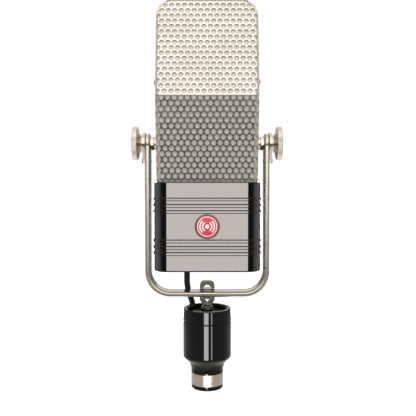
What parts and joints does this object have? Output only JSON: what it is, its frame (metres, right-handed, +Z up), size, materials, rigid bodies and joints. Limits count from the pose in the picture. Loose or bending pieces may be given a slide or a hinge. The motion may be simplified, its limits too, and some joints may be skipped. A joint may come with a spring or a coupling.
{
  "type": "ribbon microphone",
  "caption": "Side-address ribbon microphone with a folded perforated screen and ribbed case, hung by clamp knobs in a U yoke on a rubber cushion mount.",
  "frame": {"origin": "centre of the cushion mount's underside, on the axis of its stand thread", "axes": "+Z up along the stand axis, -Y out of the front of the microphone, +X to the right as seen from the front"},
  "size_m": [0.1704, 0.0858, 0.4431],
  "materials": {
    "polished_nickel": "polished",
    "satin_nickel": "satin",
    "screen_nickel": "satin",
    "screen_mesh": "matte",
    "black_gloss_lacquer": "gloss",
    "black_matte": "matte",
    "black_rubber": "matte",
    "brass": "satin",
    "magnet_steel": "matte",
    "pole_steel": "satin",
    "ribbon_foil": "satin",
    "fibre_board": "matte",
    "core_steel": "matte",
    "coil_wire": "satin",
    "badge_enamel": "gloss",
    "badge_rim": "satin",
    "lead_jacket": "satin"
  },
  "bodies": {
    "mount": {"bottom_ring": "black_gloss_lacquer", "nickel_band": "satin_nickel", "thread_insert": "brass", "mount_housing": "black_gloss_lacquer", "mount_cap": "black_gloss_lacquer", "upper_bushing": "black_rubber", "lower_bushing": "black_rubber", "lead_inlet": "black_matte"},
    "suspension": {"eye_stud": "polished_nickel", "crown_nut": "polished_nickel", "stud_washers": "satin_nickel", "stop_nut": "satin_nickel", "eye_nut": "polished_nickel", "yoke": "polished_nickel", "anti_turn_plate_left": "polished_nickel", "anti_turn_plate_right": "polished_nickel", "yoke_rivets": "polished_nickel"},
    "head": {"windscreen_front": "screen_nickel", "windscreen_rear": "screen_nickel", "screen_cloth_front": "screen_mesh", "screen_cloth_rear": "screen_mesh", "chassis_bracket_left": "black_matte", "chassis_bracket_right": "black_matte", "base_shell": "black_gloss_lacquer", "base_bottom_plate": "black_matte", "base_screws": "satin_nickel", "badge_bezel": "badge_rim", "badge_disc": "badge_enamel", "horseshoe_magnet": "magnet_steel", "motor_plate": "black_matte", "pole_piece_left": "pole_steel", "pole_piece_right": "pole_steel", "pole_bridge_top": "brass", "pole_bridge_bottom": "fibre_board", "ribbon": "ribbon_foil", "ribbon_clamp_top": "brass", "ribbon_clamp_bottom": "brass", "transformer_core": "core_steel", "transformer_coil": "coil_wire", "terminal_board": "fibre_board", "pivot_studs": "satin_nickel", "pivot_bosses": "polished_nickel", "jam_nuts": "polished_nickel", "side_screws": "polished_nickel", "cable_gland": "black_rubber", "cable": "lead_jacket"},
    "left_clamp": {"washers_left": "polished_nickel"},
    "left_knob": {"knob_left": "polished_nickel"},
    "right_clamp": {"washers_right": "polished_nickel"},
    "right_knob": {"knob_right": "polished_nickel"}
  },
  "joints": [
    {"name": "cushion_travel", "type": "slide", "parent": "mount", "child": "suspension", "axis": [0, 0, 1], "range_m": [-0.0015, 0.0015], "stiffness_N_per_m": 20000, "springref_m": 0.0018, "deforming": ["upper_bushing", "lower_bushing"]},
    {"name": "head_tilt", "type": "hinge", "parent": "suspension", "child": "head", "pos_m": [0, 0, 0.2831], "axis": [1, 0, 0], "range_deg": [-25, 25], "deforming": ["cable"]},
    {"name": "left_clamp_slide", "type": "slide", "parent": "head", "child": "left_clamp", "axis": [-1, 0, 0], "range_m": [0, 0.00254]},
    {"name": "left_knob_turn", "type": "hinge", "parent": "left_clamp", "child": "left_knob", "pos_m": [-0.08, 0, 0.2831], "axis": [-1, 0, 0], "range_deg": [0, 720]},
    {"name": "right_clamp_slide", "type": "slide", "parent": "head", "child": "right_clamp", "axis": [1, 0, 0], "range_m": [0, 0.00254]},
    {"name": "right_knob_turn", "type": "hinge", "parent": "right_clamp", "child": "right_knob", "pos_m": [0.08, 0, 0.2831], "axis": [1, 0, 0], "range_deg": [0, 720]}
  ],
  "couplings": [
    {"joint": "left_knob_turn", "follows": "left_clamp_slide", "rad_per_m": 4947.4},
    {"joint": "right_knob_turn", "follows": "right_clamp_slide", "rad_per_m": 4947.4}
  ]
}
